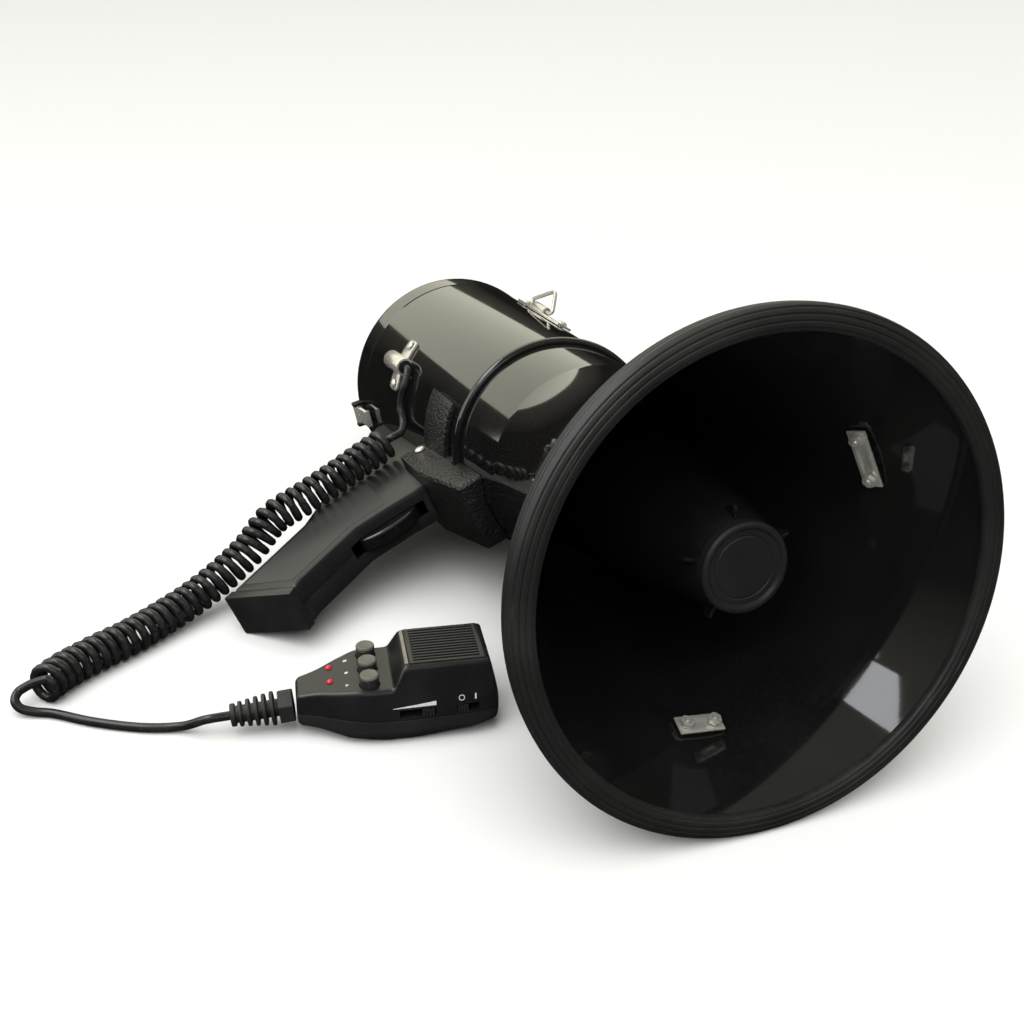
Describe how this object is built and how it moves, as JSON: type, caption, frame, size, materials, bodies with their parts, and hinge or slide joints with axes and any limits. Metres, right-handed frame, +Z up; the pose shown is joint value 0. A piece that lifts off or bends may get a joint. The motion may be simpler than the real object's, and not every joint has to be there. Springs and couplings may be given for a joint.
{
  "type": "handheld megaphone",
  "caption": "Handheld megaphone lying on its side: flared horn with a folded reflector, battery barrel, pistol grip with trigger, and a hand microphone on a curly cord.",
  "frame": {"origin": "on the surface the set lies on, under the middle of the megaphone and microphone without the cord", "axes": "+Z up from the surface, -Y the way the horn points, +X to the side away from the grip and the microphone"},
  "size_m": [0.4157, 0.4272, 0.2283],
  "materials": {
    "gloss_black": "gloss",
    "satin_black": "satin",
    "crinkle_black": "crinkle paint",
    "rubber_black": "satin",
    "cord_black": "gloss",
    "mic_black": "satin",
    "button_grey": "satin",
    "lamp_red": "gloss",
    "nickel": "nickel plate",
    "steel": "satin",
    "ferrite": "matt",
    "board_green": "solder mask",
    "cell_label": "printed film",
    "carrier_grey": "satin"
  },
  "bodies": {
    "megaphone": {"horn_bell": "gloss_black", "neck_ring": "gloss_black", "reflector_cup": "gloss_black", "barrel_shell": "gloss_black", "reflector_cap": "satin_black", "throat_tube": "satin_black", "driver_housing": "satin_black", "grip_shell_left": "satin_black", "grip_shell_right": "satin_black", "grip_end_cap": "satin_black", "rim_guard": "rubber_black", "cord_gland": "rubber_black", "mic_strain_relief": "rubber_black", "driver_magnet": "ferrite", "strap_anchor": "nickel", "strap_backing_plate": "nickel", "strap_bolt_1": "nickel", "strap_bolt_2": "nickel", "mic_hook": "nickel", "hook_backing_plate": "nickel", "hook_bolt_1": "nickel", "hook_bolt_2": "nickel", "rear_strap_anchor": "nickel", "anchor_screw_1": "nickel", "anchor_screw_2": "nickel", "cable_clamp": "nickel", "clamp_screw_1": "nickel", "clamp_screw_2": "nickel", "bracket_screw_1": "nickel", "bracket_screw_2": "nickel", "hang_button": "nickel", "battery_carrier": "carrier_grey", "trigger_switch": "carrier_grey", "battery_stack_1": "cell_label", "battery_stack_2": "cell_label", "battery_stack_3": "cell_label", "battery_stack_4": "cell_label", "amplifier_board": "board_green", "grip_bracket": "crinkle_black", "trigger_pin": "steel", "mic_capsule": "steel", "mic_front_shell": "mic_black", "mic_back_shell": "mic_black", "mic_grille": "mic_black", "mic_led_1": "lamp_red", "mic_led_2": "lamp_red", "cord_coil": "cord_black", "cord_lead": "cord_black", "cord_tail": "cord_black"},
    "rear_cap": {"rear_cap": "gloss_black"},
    "catch": {"cap_catch": "nickel"},
    "trigger": {"trigger": "gloss_black"},
    "front_loop": {"front_strap_loop": "nickel"},
    "rear_loop": {"rear_strap_loop": "nickel"},
    "talk_bar": {"talk_button": "mic_black"},
    "key_1": {"mic_button_1": "button_grey"},
    "key_2": {"mic_button_2": "button_grey"},
    "key_3": {"mic_button_3": "button_grey"},
    "volume_knob": {"volume_slider": "button_grey"},
    "power_knob": {"power_slider": "button_grey"}
  },
  "joints": [
    {"name": "trigger_pull", "type": "hinge", "parent": "megaphone", "child": "trigger", "pos_m": [-0.03519, 0.05274, 0.05153], "axis": [0.3761, -0.1114, -0.9199], "range_deg": [0, 10], "stiffness_Nm_per_rad": 0.4, "springref_deg": -6.88},
    {"name": "rear_cap_slide", "type": "slide", "parent": "megaphone", "child": "rear_cap", "axis": [0, 0.9928, -0.1202], "range_m": [0, 0.04]},
    {"name": "catch_lift", "type": "hinge", "parent": "rear_cap", "child": "catch", "pos_m": [-0.02394, 0.19529, 0.05334], "axis": [0.1924, -0.1179, -0.9742], "range_deg": [0, 65], "stiffness_Nm_per_rad": 0.02, "springref_deg": -8.59},
    {"name": "front_loop_swing", "type": "hinge", "parent": "megaphone", "child": "front_loop", "pos_m": [0.12738, -0.14407, 0.14182], "axis": [-0.3761, 0.1114, 0.9199], "range_deg": [-115, 50]},
    {"name": "rear_loop_swing", "type": "hinge", "parent": "megaphone", "child": "rear_loop", "pos_m": [0.08011, 0.13849, 0.12916], "axis": [0.0298, 0.9968, -0.0742], "range_deg": [-80, 80]},
    {"name": "talk_press", "type": "slide", "parent": "megaphone", "child": "talk_bar", "axis": [-0.1908, -0.9816, 0], "range_m": [0, 0.0018], "stiffness_N_per_m": 500, "springref_m": -0.001},
    {"name": "key_1_press", "type": "slide", "parent": "megaphone", "child": "key_1", "axis": [0, 0, -1], "range_m": [0, 0.0015], "stiffness_N_per_m": 400, "springref_m": -0.001},
    {"name": "key_2_press", "type": "slide", "parent": "megaphone", "child": "key_2", "axis": [0, 0, -1], "range_m": [0, 0.0015], "stiffness_N_per_m": 400, "springref_m": -0.001},
    {"name": "key_3_press", "type": "slide", "parent": "megaphone", "child": "key_3", "axis": [0, 0, -1], "range_m": [0, 0.0015], "stiffness_N_per_m": 400, "springref_m": -0.001},
    {"name": "volume_slide", "type": "slide", "parent": "megaphone", "child": "volume_knob", "axis": [0.9816, -0.1908, 0], "range_m": [-0.0102, 0]},
    {"name": "power_slide", "type": "slide", "parent": "megaphone", "child": "power_knob", "axis": [0.9816, -0.1908, 0], "range_m": [0, 0.0046]}
  ]
}
